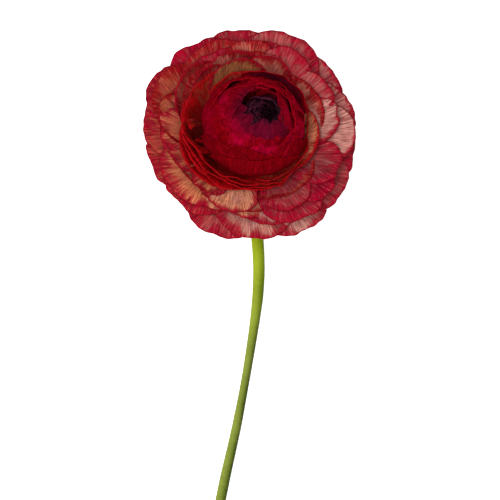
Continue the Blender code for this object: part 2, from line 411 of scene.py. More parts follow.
        # Tissue: fine light and dark threads along the fan.
        thread = fan_noise(add, read, THREAD_MM, 3.0)
        grain = add("Math", thread, blotch)
        shade = add("MapRange", grain, 0.7, 1.3, 0.62, 1.58)
        woven = add("VectorMath", plum_and_shade_mixed, shade, operation="SCALE")

        # Relief: veins stand proud of the tissue, which is itself crinkled like thin paper.
        paper = add("TexNoise", where, 1 / (CRINKLE_MM * MM), 3.0, 0.55, named={"Distortion": 0.4})
        crinkle = add("Bump", named={
            "Height": paper, "Strength": 0.7, "Distance": self.crinkle_mm * MM})
        relief = add("Bump", named={
            "Height": ridge, "Strength": 0.8, "Distance": self.vein_mm * MM, "Normal": crinkle})
        skin = add("BsdfPrincipled", named={
            "Base Color": woven, "Normal": relief, "Roughness": self.roughness,
            "Specular IOR Level": self.gloss})
        light = add("BsdfTranslucent", woven, relief)
        mixed = add("MixShader", self.glow, skin, light)
        add("OutputMaterial", mixed)
        return material


# Outer petals: matt salmon tissue with dusty pink clouds, veined and crinkled, with painted highlights as
# pale flecks in the stain, and a crimson stain that runs in from the edge.
BLUSH_OUTER = PetalFinish(
    name="blush", root="#8a5c2c", body="#c47a52", blush="#ae786e", edge="#8c0320", rim="#7c0414",
    rim_mm=0.35, run_mm=8.0, wash=0.9, painted_glint=0.28, vein_depth=0.6, crinkle_mm=1.1)
# Bowl petals: the same tissue, browner, with darker colours as painted shade, since it stands in shade.
BLUSH_BOWL = replace(
    BLUSH_OUTER, name="bowl", root="#7c5222", body="#b46844", blush="#bc7864", edge="#800310", rim="#70030e",
    run_mm=7.5, painted_glint=0.22, crinkle_mm=1.0)
# Between bowl and ring: brown-rose tissue, darkened as painted shade, with a narrow crimson edge.
SHADED_VEIL = PetalFinish(
    name="veil", root="#7c5428", body="#8e4c3a", blush="#945044", edge="#72020e", rim="#86041a",
    run_mm=5.0, wash=0.8, vein_depth=0.45, root_end=0.85)
# One petal that shows its gilt brown inner face, hardly stained.
GILT_LEAF = replace(
    SHADED_VEIL, name="gilt", root="#744a24", body="#82502c", blush="#845232", run_mm=4.0, wash=0.5)
# Ring petals: straw at the root, soaked with plain crimson above, with almost black painted shade in the
# crevices.
CRIMSON_RING = PetalFinish(
    name="ring", root="#bc8844", body="#c46c48", blush="#cc8260", edge="#820306", rim="#940810",
    plum="#0c0302", rim_mm=1.2, run_mm=5.5, wash=0.8, root_end=0.8)
# Ball petals: velvety crimson all over, without gloss, that turns to plum at the centre; the same plum is
# painted shade in the ball's hollows.
CRIMSON_BALL = PetalFinish(
    name="ball", root="#4a0208", body="#640105", blush="#840220", edge="#620106", rim="#800414",
    plum="#34061a", rim_mm=0.4, run_mm=6.0, stain=0.6, vein_depth=0.2, glow=0.2, gloss=0.0)
# The ball's lowest petals: the same velvet, a shade deeper.
DEEP_BIB = replace(
    CRIMSON_BALL, name="bib", root="#3a0206", body="#5e0106", blush="#66020c", edge="#560106", rim="#6c0209")
# Petals folded over the centre: the same velvet, turned to plum.
PLUM_LID = replace(
    CRIMSON_BALL, name="lid", body="#58051a", blush="#5e0822", edge="#520416", rim="#640e2a",
    plum="#2c0f1c", rim_mm=0.3)
# Heart petals: tight, almost black plum tissue with paler lips.
PLUM_HEART = PetalFinish(
    name="heart", root="#0a0205", body="#38121f", blush="#40182a", edge="#18050c", rim="#4c162c",
    plum="#060103", rim_mm=0.3, run_mm=3.0, stain=0.6, glow=0.1)


@dataclass(frozen=True)
class GreenFinish:
    """Living stalk or sepal skin: green with a dull wax, and fine fibres along it.

    The eye sees a matt green with painted light, one side painted brighter and the other painted in shade,
    with clouds of age and faint lines.
    """

    name: str
    # Colours: bright and pale are the painted lit side near the top and further down, deep and low the
    # painted shaded side.
    bright: str
    deep: str
    low: str
    pale: str
    radius_mm: float = 2.1
    # Fibres are about 0.1 mm wide, too fine to show, so they are drawn twice as wide.
    fibre_mm: Pair = (0.2, 1.2)
    cloud_mm: float = 16.0
    relief_mm: float = 0.1
    # Turn round the stalk of the painted lit side, in radians.
    painted_light_turn: float = 0.4
    roughness: float = 0.5
    gloss: float = 0.02

    def build(self) -> Material:
        """Make the material.

        Returns:
            Green skin that reads the piece's own attributes.
        """
        material, add = new_material(self.name)
        along = add("Attribute", attribute_name="run").outputs["Fac"]
        round_it = add("Attribute", attribute_name="fan").outputs["Fac"]
        where = add("TexCoord").outputs["Object"]

        # Fibres and clouds.
        wide = add("Math", round_it, self.radius_mm / self.fibre_mm[0], **TIMES)
        far = add("Math", along, CM_IN_MM / self.fibre_mm[1], **TIMES)
        lines = add("CombineXYZ", wide, far)
        fibres = add("TexNoise", lines, 1.0, 3.0, 0.6)
        cloud = add("TexNoise", where, 1 / (self.cloud_mm * MM), 4.0, 0.6)
        both = add("Math", fibres, cloud)

        # Painted light and shade: the side turned towards the lamp is painted brighter, the far side darker;
        # the colours also change down the stalk.
        turned_on = add("Math", round_it, -self.painted_light_turn)
        facing = add("Math", turned_on, operation="COSINE")
        lit = add("Math", facing, 0.6, both, operation="MULTIPLY_ADD")
        share = add("MapRange", lit, 0.7, 1.7, 0.0, 1.0)
        down = add("MapRange", along, 3.0, 9.0, 0.0, 1.0)
        shaded = add("Mix", down, self.deep, self.low, **COLOURS)
        painted_lit_side = add("Mix", down, self.bright, self.pale, **COLOURS)
        painted_light_mix = add("Mix", share, shaded, painted_lit_side, **COLOURS)

        relief = add("Bump", named={
            "Height": fibres, "Strength": 0.3, "Distance": self.relief_mm * MM})
        skin = add("BsdfPrincipled", named={
            "Base Color": painted_light_mix, "Normal": relief, "Roughness": self.roughness,
            "Specular IOR Level": self.gloss, "Subsurface Weight": 0.15, "Subsurface Scale": 0.001})
        add("OutputMaterial", skin)
        return material


# --- petals
@dataclass
class Petal:
    """One petal: its whorl, its cup, its place on it and its own irregularities."""

    whorl: Whorl
    azimuth: float
    half: float
    phase: float
    cup: Array
    tone: float
    flush: float
    frill: float
    curl: float
    reflex: float
    notch: float
    scallop: float
    phases: list[float]

    def cup_curve(self) -> tuple[Array, Array, Array, Array]:
        """Share of length, radius, height and slope at steps of the cup's cubic curve."""
        p, t = self.cup, np.linspace(0.0, 1.0, 91)[:, None]
        xy = (1 - t) ** 3 * p[0] + 3 * t * (1 - t) ** 2 * p[1] + 3 * t * t * (1 - t) * p[2] + t ** 3 * p[3]
        run = np.concatenate([[0.0], np.cumsum(np.hypot(*np.diff(xy, axis=0).T))])
        slope = np.unwrap(np.arctan2(np.gradient(xy[:, 1]), np.gradient(xy[:, 0])))
        return run / run[-1], xy[:, 0], xy[:, 1], slope

    def shape(self, u: Array, v: Array) -> tuple[Array, dict[str, Array]]:
        """Bend the flat blank on to the cup.

        Args:
            u: place across the blank, -1 to 1.
            v: place along the blank, 0 to 1.

        Returns:
            N by 3 points about the bloom's axis, and the values for the material.
        """
        kind, (a, b, c, d) = self.whorl, self.phases

        # Outline: a square rounded towards an ellipse, with bites and one notch in its edge.
        across = u * np.sqrt(1 - kind.rounding * v * v / 2)
        along = v * np.sqrt(1 - kind.rounding * u * u / 2)
        fan = np.arctan2(across, along + 0.15)
        rim = np.maximum(np.abs(u), v)
        shrink = 1 + self.scallop * rim ** 6 * (waves(fan, BITES, (a, b, c, d)) * 0.5 + 0.1)
        shrink -= self.notch * v ** 8 * np.exp(-(across / 0.2) ** 2)
        across, along = across * shrink, along * shrink

        # Place on the cup: narrow at the claw, full width further up.
        share, radius, height, slope = self.cup_curve()
        full = np.clip(along / kind.claw_end, 0.0, 1.0)
        width = kind.claw + (1 - kind.claw) * np.sin(0.5 * np.pi * full) ** 1.2
        turn = np.radians(self.azimuth + 1.1 * self.half * across * width)
        r, h, lean = (np.interp(along, share, values) for values in (radius, height, slope))

        # How far the tissue stands off the cup: frill, curled edge, buckles, crumple and reflex.
        swell = 0.55 + 0.45 * np.sin(fan * 2.3 + c)
        off = self.frill * rim ** 7 * swell * waves(fan, RIPPLES, (a, b, d)) - self.curl * rim ** 8
        buckle = np.sin(5.0 * across + a) * np.sin(5.0 * along + b)
        off += 0.5 * self.frill * buckle * smoothstep(0.2, 0.6, along)
        crumple = (np.sin(7.3 * across + 2.1 * np.sin(5.1 * along + b) + c)
                   * np.sin(8.7 * along + 1.7 * np.sin(4.3 * across + a) + d))
        off += kind.crumple * crumple * smoothstep(0.1, 0.5, along)
        off -= self.reflex * smoothstep(0.45, 1.05, np.hypot(along, 0.6 * across)) ** 1.5
        r = r - np.sin(lean) * off + kind.slant * across * smoothstep(0.2, 0.8, along)
        h = h + np.cos(lean) * off + kind.sway * rim ** 3 * np.sin(3.2 * fan + self.phase)
        return np.stack([r * np.cos(turn), r * np.sin(turn), h], axis=1), {"fan": fan, "run": along}


@dataclass
class Whorl:
    """Petals of one kind, cut from cups that run from an outer one to an inner one."""

    name: str
    aspect: Aspect
    # Half the width of a petal, in degrees about the bloom's axis.
    half: float
    outer: Cup
    inner: Cup
    finish: PetalFinish = BLUSH_OUTER
    # Rows: first direction of each, petals in a row and degrees between them.
    rows: tuple[float, ...] = ()
    count: int = 0
    step: float = GOLDEN
    # Or petals one by one: direction, share of the width, place from outer to inner cup.
    singles: tuple[Triple, ...] = ()
    # How much higher the far side's petals end, how the cups differ from round (push is
    # how far and in which direction), and how much wider the inner petals are.
    up: float = 0.0
    oval: float = 0.0
    push: Pair = (0.0, 0.0)
    widen: float = 0.0
    # How irregular the petals stand, in degrees, and how high their edge sways, in mm.
    jitter: float = 0.0
    sway: float = 0.0
    # The tissue, in mm: frilled edge, rolled edge, bent back tip, folds, and how
    # far out one side of a petal stands from its middle.
    frill: float = 0.6
    curl: float = 0.3
    reflex: float = 0.0
    crumple: float = 0.35
    slant: float = 0.0
    # How far the petals' upper part lies off the axis, in millimetres.
    shift: Pair = (0.0, 0.0)
    # Dark centre: x, y, where it is full, where it ends (mm), and its strength.
    core: tuple[float, float, float, float, float] = (-1.0, -1.0, 5.0, 13.0, 0.8)
    # Painted crevice shade: direction, width (degrees), height where the painted shade ends (mm), and its
    # strength.
    painted_crevice_shade: tuple[float, float, float, float] = (0.0, 1.0, 1.0, 0.0)
    flush: float = 1.0
    flush_more: float = 0.0
    # Bare sides: direction, width (degrees), and how much stain each lacks.
    bare: tuple[Triple, ...] = ()
    by_side: float = 1.0
    # Outline: depth of the middle notch and of the bites, as shares of the petal.
    notch: float = 0.03
    scallop: float = 0.02
    squares: tuple[int, int] | None = None
    blade: float = 0.32
    # Width of the claw, place where the full width starts, and how round the tip is.
    claw: float = 0.4
    claw_end: float = 0.5
    rounding: float = 0.7

    def petals(self) -> list[Petal]:
        """Draw every petal of the whorl, outermost first.

        Returns:
            Petals, placed and cupped as the CAD model's where it has that whorl.
        """
        draw = random.Random(f"{self.name}-{SEED}")
        extra = random.Random(f"{self.name}-look-{SEED}")
        made = []
        for first, spread, share in self.seats():
            azimuth = first + draw.uniform(-1, 1) * self.jitter
            cup = np.array(self.outer) * (1 - share) + np.array(self.inner) * share
            up = self.up * math.sin(math.radians(azimuth))
            push, towards = self.push
            reach = draw.uniform(-1, 1) * self.sway - self.oval * math.cos(math.radians(2 * azimuth))
            reach += push * math.cos(math.radians(azimuth - towards))
            cup[1:, 1] += up * np.array((0.15, 0.5, 1.0))
            cup[2:, 0] += reach * np.array((0.5, 1.0))
            half = self.half * spread * draw.uniform(0.96, 1.04) * (1 + self.widen * share)
            phase = draw.uniform(0, 6.28)

            # The left of the bloom is more orange, and the stain differs by side.
            pink = 0.5 + self.by_side * (0.5 - 0.95 * bell(azimuth, 205, 62))
            stained = sum(more * bell(azimuth, middle, wide) for middle, wide, more in STAINED_SIDES)
            stained -= sum(lack * bell(azimuth, middle, wide) for middle, wide, lack in self.bare)
            tone = pink + extra.uniform(-0.25, 0.25)
            flush = stained * self.flush + self.flush_more + extra.uniform(-0.15, 0.2)
            made.append(Petal(
                whorl=self, azimuth=azimuth, half=half, phase=phase, cup=cup,
                tone=min(max(tone, 0.0), 1.0), flush=min(max(flush, -0.22), 2.0),
                frill=self.frill * extra.uniform(0.6, 1.3), curl=self.curl * extra.uniform(-0.4, 1.3),
                reflex=self.reflex * extra.uniform(0.4, 1.4), notch=self.notch * extra.uniform(0.0, 1.6),
                scallop=self.scallop * extra.uniform(0.7, 1.3),
                # Six phases are drawn for every petal, and four are used.
                phases=[extra.uniform(0, 6.28) for _ in range(6)][:4]))
        return made

    def seats(self) -> list[Triple]:
        """Azimuth, share of the full width and place from outer to inner cup of every petal."""
        if self.singles:
            return list(self.singles)
        last = len(self.rows) - 1
        return [(first + self.step * i, 1.0, row / last if last else i / (self.count - 1))
                for row, first in enumerate(self.rows) for i in range(self.count)]

    def blades(self, axis: BloomAxis) -> list[Object]:
        """Model one flat blank and bend a copy of it to every petal.

        Args:
            axis: place of the bloom.

        Returns:
            The petals as solid blades.
        """
        across, along = self.squares or SQUARES[self.aspect]
        deselect()
        bpy.ops.mesh.primitive_grid_add(x_subdivisions=across, y_subdivisions=along, size=2.0)
        blank = bpy.context.object
        made = [self.bend(blank, petal, i, axis) for i, petal in enumerate(self.petals())]
        bpy.data.objects.remove(blank, do_unlink=True)
        return made

    def bend(self, blank: Object, petal: Petal, index: int, axis: BloomAxis) -> Object:
        """Copy the blank and bend the copy to one petal.

        Args:
            blank: flat square grid from -1 to 1.
            petal: the petal to make.
            index: its number in the whorl.
            axis: place of the bloom.

        Returns:
            The petal as a solid blade.
        """
        obj = bpy.data.objects.new(f"{self.name}_{index}", blank.data.copy())
        bpy.context.scene.collection.objects.link(obj)
        flat = mesh_points(obj.data)
        u, v = flat[:, 0], 0.5 * (flat[:, 1] + 1.0)
        points, values = petal.shape(u, v)
        points[:, :2] += np.array(self.shift) * smoothstep(14.0, 30.0, points[:, 2])[:, None]
        values["margin"] = self.margin(points, u, v)
        values["tone"] = np.full(len(u), petal.tone)
        values["flush"] = np.full(len(u), petal.flush)
        # The core attribute holds the share of plum: the dark centre, and painted shade in the crevices.
        values["core"] = self.plum_and_shade_share(points, values["margin"])
        for name, numbers in values.items():
            set_values(obj.data, name, numbers)
        placed = axis.place(points)
        placed[:, 2] = np.maximum(placed[:, 2], 0.5 * self.blade * MM)
        set_points(obj.data, placed)
        solid = obj.modifiers.new("Blade", "SOLIDIFY")
        solid.thickness = self.blade * MM
        solid.offset = 0.0
        select_only(obj)
        bpy.ops.object.modifier_apply(modifier=solid.name)
        return obj

    def plum_and_shade_share(self, points: Array, margin: Array) -> Array:
        """How far the plum of the centre and the painted shade in the crevices cover these petals.

        Args:
            points: N by 3 points about the bloom's axis, in millimetres.
            margin: distance of each point from the petal's edge, in millimetres.

        Returns:
            Share of the plum colour, which also paints the shade, 0 to 1.
        """
        x, y, near, far, most = self.core
        away = np.linalg.norm((points - (x, y, 32.0)) * (1.0, 1.0, 0.8), axis=1)
        plum = most * (1 - smoothstep(near, far, away))
        # Painted shade: plum laid low on the petals in one direction, where shade falls in the crevices, but
        # not on their edges.
        towards, wide, top, depth = self.painted_crevice_shade
        azimuth = np.degrees(np.arctan2(points[:, 1], points[:, 0]))
        dark = depth * bell(azimuth, towards, wide) * (1 - smoothstep(top - 6.0, top, points[:, 2]))
        return np.maximum(plum, dark * smoothstep(1.5, 4.0, margin))

    @staticmethod
    def margin(points: Array, u: Array, v: Array) -> Array:
        """Distance from every point to the petal's free edge.

        Args:
            points: N by 3 points in millimetres.
            u: place across the blank.
            v: place along the blank.

        Returns:
            Distance in millimetres, longer near the claw, where the edge is pale.
        """
        edge = points[(np.maximum(np.abs(u), v) > 0.999) & (v > 0.35)]
        gap = np.sqrt(((points[:, None, :] - edge[None, :, :]) ** 2).sum(axis=2)).min(axis=1)
        return gap + 4.0 * (1 - smoothstep(0.2, 0.55, v))

    def build(self, axis: BloomAxis) -> Object:
        """Make the whorl as one piece and dress it.

        Args:
            axis: place of the bloom.

        Returns:
            The finished piece.
        """
        piece = join(self.blades(axis), f"petals_{self.name}", self.finish.build())
        bpy.ops.object.shade_smooth()
        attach(piece, "root")
        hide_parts(self.aspect.value)
        return piece


# What the petals of the ring, of the ball and of the heart share.
# Its crevice value lays almost black painted shade low on the ring and hem towards 200 degrees.
RING_SIDES = {"oval": -0.9, "up": 2.0, "finish": CRIMSON_RING, "flush": 0.2,
              "bare": ((354, 57, 3.4), (240, 60, -2.6)), "painted_crevice_shade": (200, 50, 20.5, 0.85)}
BALL_SIDES = {"finish": CRIMSON_BALL, "frill": 0.5, "by_side": 0.3}
BROAD_CLAW = {"claw": 0.8, "claw_end": 0.3}
HEART_SIDES = {"finish": PLUM_HEART, "curl": -0.1, "shift": (2.4, -2.4), "core": (4.6, -1.6, 1.5, 7.5, 0.9)}

# Name, CAD node, half width, outer cup and inner cup of each whorl, and the rest by name.
WHORLS = (
    Whorl("back", OUTER, 31,
          ((4.5, -0.7), (16, 0.2), (28, 1.8), (38.5, -1.6)),
          ((4.5, -0.7), (16, 0.2), (28, 1.8), (38.5, -0.6)),
          rows=(65, 245), count=3, step=50, sway=0.4, frill=0.35),
    Whorl("guard", OUTER, 28.5,
          ((4.5, 0.2), (16, 1.6), (31, 5.2), (45.2, 8)),
          ((4.5, 1), (16, 2.8), (30.4, 7), (44.4, 10.8)),
          rows=(98, 122), count=7, step=51.43, up=4.5, oval=1.5, push=(2, 64), jitter=2, sway=0.8,
          frill=0.8, reflex=1.2, crumple=0.2, flush_more=0.12,
          bare=((236, 26, -0.7), (272, 18, -0.2), (306, 22, 0.7))),
    Whorl("wide", OUTER, 34,
          ((4.5, 1.9), (16, 3.9), (28.5, 8.9), (39, 13)),
          ((4.5, 2.7), (16, 5), (27, 10.2), (36, 15)),
          rows=(5, 42), count=5, step=72, up=3.6, oval=0.6, push=(0.5, 120), jitter=3, sway=0.8, frill=0.8,
          reflex=2.2, crumple=0.25, bare=((264, 26, 0.7),)),
    Whorl("shell", OUTER, 32,
          ((4.5, 3), (17, 5.4), (32, 10.4), (41.6, 17.2)),
          ((4.5, 3.8), (18, 6.6), (29, 11), (35.5, 19)),
          up=1.8, jitter=2, sway=0.4, slant=-1.6,
          singles=((158, 1, 0), (118, 1, 0.3), (176, 0.7, 0.65), (92, 0.8, 0.75)), finish=BLUSH_BOWL,
          frill=0.5, reflex=0.7, crumple=0.12, notch=0.01),
    Whorl("veil", OUTER, 33,
          ((4.5, 3.4), (18, 5.6), (29, 10.4), (34.2, 19)),
          ((4.5, 4.6), (17, 7), (24, 11), (26.8, 20.4)),
          up=1.4, jitter=2, sway=0.4, slant=-2.2,
          singles=((146, 1, 0), (112, 1, 0.3), (136, 0.9, 0.7), (80, 0.8, 0.55)), finish=SHADED_VEIL,
          frill=0.4, curl=0.1, reflex=0.3, notch=0, crumple=0.12, flush=0.55),
    Whorl("gilt", OUTER, 32,
          ((4.5, 4.6), (17, 7), (24.4, 11), (27.6, 21.2)),
          ((4.5, 4.6), (17, 7), (24.4, 11), (27.6, 21.2)),
          up=1.4, jitter=2, sway=0.3, slant=-1.4, singles=((107, 1, 0),), finish=GILT_LEAF, frill=0.2,
          curl=0.1, reflex=0.3, notch=0, crumple=0.06, flush=0.1),
    Whorl("bowl", OUTER, 40,
          ((4.5, 3.4), (16, 5.5), (27, 9.9), (33.8, 15.8)),
          ((4.5, 4), (17, 6), (25.6, 9.9), (30.8, 17.2)),
          rows=(82, 37), count=4, step=90, up=2.6, push=(0.6, 190), jitter=3, sway=0.6, finish=BLUSH_BOWL,
          curl=0.2, reflex=2, crumple=0.25, flush=0.8),
    Whorl("stray", OUTER, 26,
          ((4.5, 3.2), (17, 7), (28.5, 14), (39.6, 17.6)),
          ((4.5, 4.1), (17, 7.5), (27, 12.5), (34, 18.8)),
          up=2.8, jitter=2, sway=0.6,
          singles=((209, 0.75, 0.85), (254, 0.9, 0.35), (184, 0.8, 0.3), (232, 0.7, 0.95)), frill=0.7,
          reflex=1.6, crumple=0.15),
    # The fan's crevice value lays plum painted shade low on its petals towards 326 degrees.
    Whorl("fan", OUTER, 26,
          ((4.5, 3.2), (17, 6.6), (29.5, 13.2), (40.4, 16.6)),
          ((4.5, 4.2), (17, 8), (26.5, 14), (33.5, 19.8)),
          up=2.8, jitter=2, sway=0.6, push=(0.8, 345),
          singles=((3, 1.1, -0.05), (-22, 0.8, 0.35), (-40, 0.75, 0.1), (-60, 0.8, 0.55),
                   (299, 0.95, -0.35), (35, 0.9, 0.5), (64, 0.9, 0.3), (14, 0.8, 0.8)),
          frill=0.7, reflex=1, crumple=0.12, flush=1.5, bare=((258, 26, 0.8), (345, 16, 0.3)),
          painted_crevice_shade=(326, 22, 22, 0.35)),
    Whorl("ring", INNER, 46,
          ((4.5, 7.2), (17, 8.7), (23.2, 11.6), (28.3, 16.8)),
          ((4.3, 9.2), (18, 10.2), (22.4, 14.6), (22.6, 20.6)),
          rows=(215,), count=10, push=(2.2, 205), jitter=3, sway=0.3, frill=0.45, reflex=0.6, notch=0.02,
          flush_more=0.85, **RING_SIDES),
    Whorl("hem", INNER, 38,
          ((4.5, 7.6), (17, 8.9), (23.6, 12), (27.2, 17.6)),
          ((4.3, 9.2), (18, 10.2), (22.8, 14.6), (23.6, 20.2)),
          push=(2, 205), jitter=6, sway=0.5,
          singles=((236, 1, 0), (196, 1, 0.2), (276, 1, 0.1), (158, 0.9, 0.35), (216, 1, 0.55),
                   (256, 1, 0.6), (294, 0.8, 0.5), (176, 0.9, 0.8), (90, 0.8, 0.75), (238, 1, 0.95)),
          reflex=0.4, flush_more=0.8, **RING_SIDES),
    # Ball, fold and nest: their crevice values lay plum painted shade in the hollow towards 60 to 72
    # degrees.
    Whorl("ball", INNER, 62,
          ((4.2, 9.4), (23, 9.8), (24.2, 21.5), (15.2, 28.6)),
          ((3.2, 12.2), (15.5, 13), (17.6, 31.2), (6.6, 32.8)),
          rows=(200,), count=11, up=0.6, widen=0.25, push=(1.2, 50), jitter=3, curl=-0.2, notch=0.02,
          scallop=0.03, crumple=0.5, painted_crevice_shade=(72, 50, 30, 0.75), **BALL_SIDES, **BROAD_CLAW),
    Whorl("bib", INNER, 50,
          ((4.4, 9.4), (23.8, 9.6), (25, 20.5), (19.4, 26)),
          ((4.4, 9.4), (23, 9.8), (23.8, 21), (16.2, 28.2)),
          jitter=2, sway=0.3, singles=((272, 1.1, 0), (236, 0.8, 0.45), (306, 0.8, 0.3), (258, 0.9, 1)),
          finish=DEEP_BIB, frill=0.4, curl=0.2, notch=0.01, crumple=0.25, by_side=0.3, **BROAD_CLAW),
    Whorl("fold", INNER, 44,
          ((4, 10.5), (21, 11), (23, 22), (17.2, 27.4)),
          ((3, 14), (12, 15), (12.6, 29), (7.4, 31.8)),
          rows=(60,), count=14, up=0.4, push=(3, 65), jitter=5, sway=0.5, curl=-0.1, scallop=0.05,
          crumple=0.5, shift=(0.8, -1.6), painted_crevice_shade=(72, 50, 31, 0.75), **BALL_SIDES),
    Whorl("nest", INNER, 38,
          ((3, 13), (18, 13.5), (19.6, 24), (13.8, 31.6)),
          ((3, 13.5), (13, 14), (14.6, 26), (7.6, 33.2)),
          jitter=3, sway=0.3, push=(1, 50),
          singles=((78, 1, 0), (38, 0.9, 0.35), (112, 0.8, 0.6), (8, 0.8, 0.9)), curl=-0.1, notch=0.02,
          scallop=0.04, crumple=0.3, shift=(1, -2.2), core=(2.4, -1, 3, 9, 0.8), painted_crevice_shade=(60, 70, 28, 0.9),
          **BALL_SIDES),
    Whorl("lid", INNER, 34,
          ((3, 12.5), (14, 13.2), (16.6, 31.8), (4.8, 33.8)),
          ((3, 12.5), (14, 13.2), (16, 31), (7, 33.2)),
          jitter=3, singles=((262, 1.1, 0), (218, 0.8, 0.5), (304, 0.85, 0.6), (182, 0.7, 1)),
          finish=PLUM_LID, frill=0.35, curl=-0.1, notch=0, crumple=0.3, by_side=0.3, shift=(2.4, -0.4),
          core=(2.8, -0.6, 3.5, 8.5, 0.9)),
    Whorl("heart", CENTRE, 66,
          ((3.4, 20.4), (12, 20.8), (12.2, 29.4), (5.2, 33)),
          ((1.4, 21.5), (3.2, 22), (3.4, 29), (1.1, 31.8)),
          rows=(40,), count=10, notch=0.04, scallop=0.05, **HEART_SIDES),
    Whorl("pleat", CENTRE, 44,
          ((3, 20.4), (9.6, 20.8), (9.8, 29.4), (5, 32.4)),
          ((1, 21.5), (2, 22), (2.2, 29), (0.8, 31.4)),
          rows=(10,), count=22, jitter=28, sway=0.7, frill=0.9, notch=0.06, scallop=0.08, **HEART_SIDES),
)


# --- calyx
@dataclass
class Calyx:
    """Receptacle below the petals with five reflexed sepals."""

    # (radius, height) from the underside to the top.
    profile: tuple[Pair, ...] = (
        (2.4, -4.6), (3.2, -4.5), (4.2, -4.0), (4.9, -3.4), (5.5, -2.7), (5.6, -2.2), (5.9, -1.2),
        (6.4, 0.4), (6.2, 2.4), (5.2, 4.2), (4.6, 7.0), (4.2, 10.0))
    sides: int = 40
    # Sepals: how many, direction of the first and half the width of one, in degrees.
    sepals: int = 5
    first: float = 54.0
    half: float = 30.0
    cup: Cup = ((3.4, -3.3), (8.0, -3.6), (13.0, -4.6), (16.5, -7.4))
    blade: float = 0.5
    # Green skin with a painted lit side and a painted shaded side.
    finish: GreenFinish = GreenFinish(
        name="sepal_skin", bright="#8c9440", deep="#5c6a26", low="#5c6a26", pale="#8c9440")

    def receptacle(self, axis: BloomAxis) -> Object:
        """Turn the profile about the bloom's axis, from a circle extruded up it.

        Args:
            axis: place of the bloom.

        Returns:
            Closed solid of revolution.
        """
        deselect()
        (radius, height), *rest = self.profile
        bpy.ops.mesh.primitive_circle_add(
            vertices=self.sides, radius=radius, fill_type="NGON", location=(0, 0, height))
        obj = bpy.context.object
        bpy.ops.object.mode_set(mode="EDIT")
        for wide, high in rest:
            bpy.ops.mesh.extrude_region_move(TRANSFORM_OT_translate={"value": (0, 0, high - height)})
            ratio = wide / radius
            bpy.ops.transform.resize(value=(ratio, ratio, 1))
            radius, height = wide, high
        bpy.ops.mesh.select_all(action="SELECT")
        bpy.ops.mesh.normals_make_consistent(inside=False)
        bpy.ops.object.mode_set(mode="OBJECT")
        bpy.ops.object.transform_apply()
        points = mesh_points(obj.data)
        set_values(obj.data, "run", points[:, 2] / CM_IN_MM)
        set_values(obj.data, "fan", np.arctan2(points[:, 1], points[:, 0]))
        set_points(obj.data, axis.place(points))
        return obj

    def build(self, axis: BloomAxis) -> Object:
        """Model the calyx and dress it.

        Args:
            axis: place of the bloom.

        Returns:
            The finished piece.
        """
        core = self.receptacle(axis)
        whorl = Whorl("sepal", OUTER, rows=(self.first,), count=self.sepals, step=360 / self.sepals,
                      half=self.half, outer=self.cup, inner=self.cup, frill=0.2, curl=0.2, notch=-0.06,
                      scallop=0.015, squares=(22, 22), blade=self.blade)
        piece = join([core, *whorl.blades(axis)], "calyx_green", self.finish.build())
        bpy.ops.object.shade_smooth_by_angle(angle=math.radians(50))
        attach(piece, "root")
        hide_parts("calyx")
        return piece


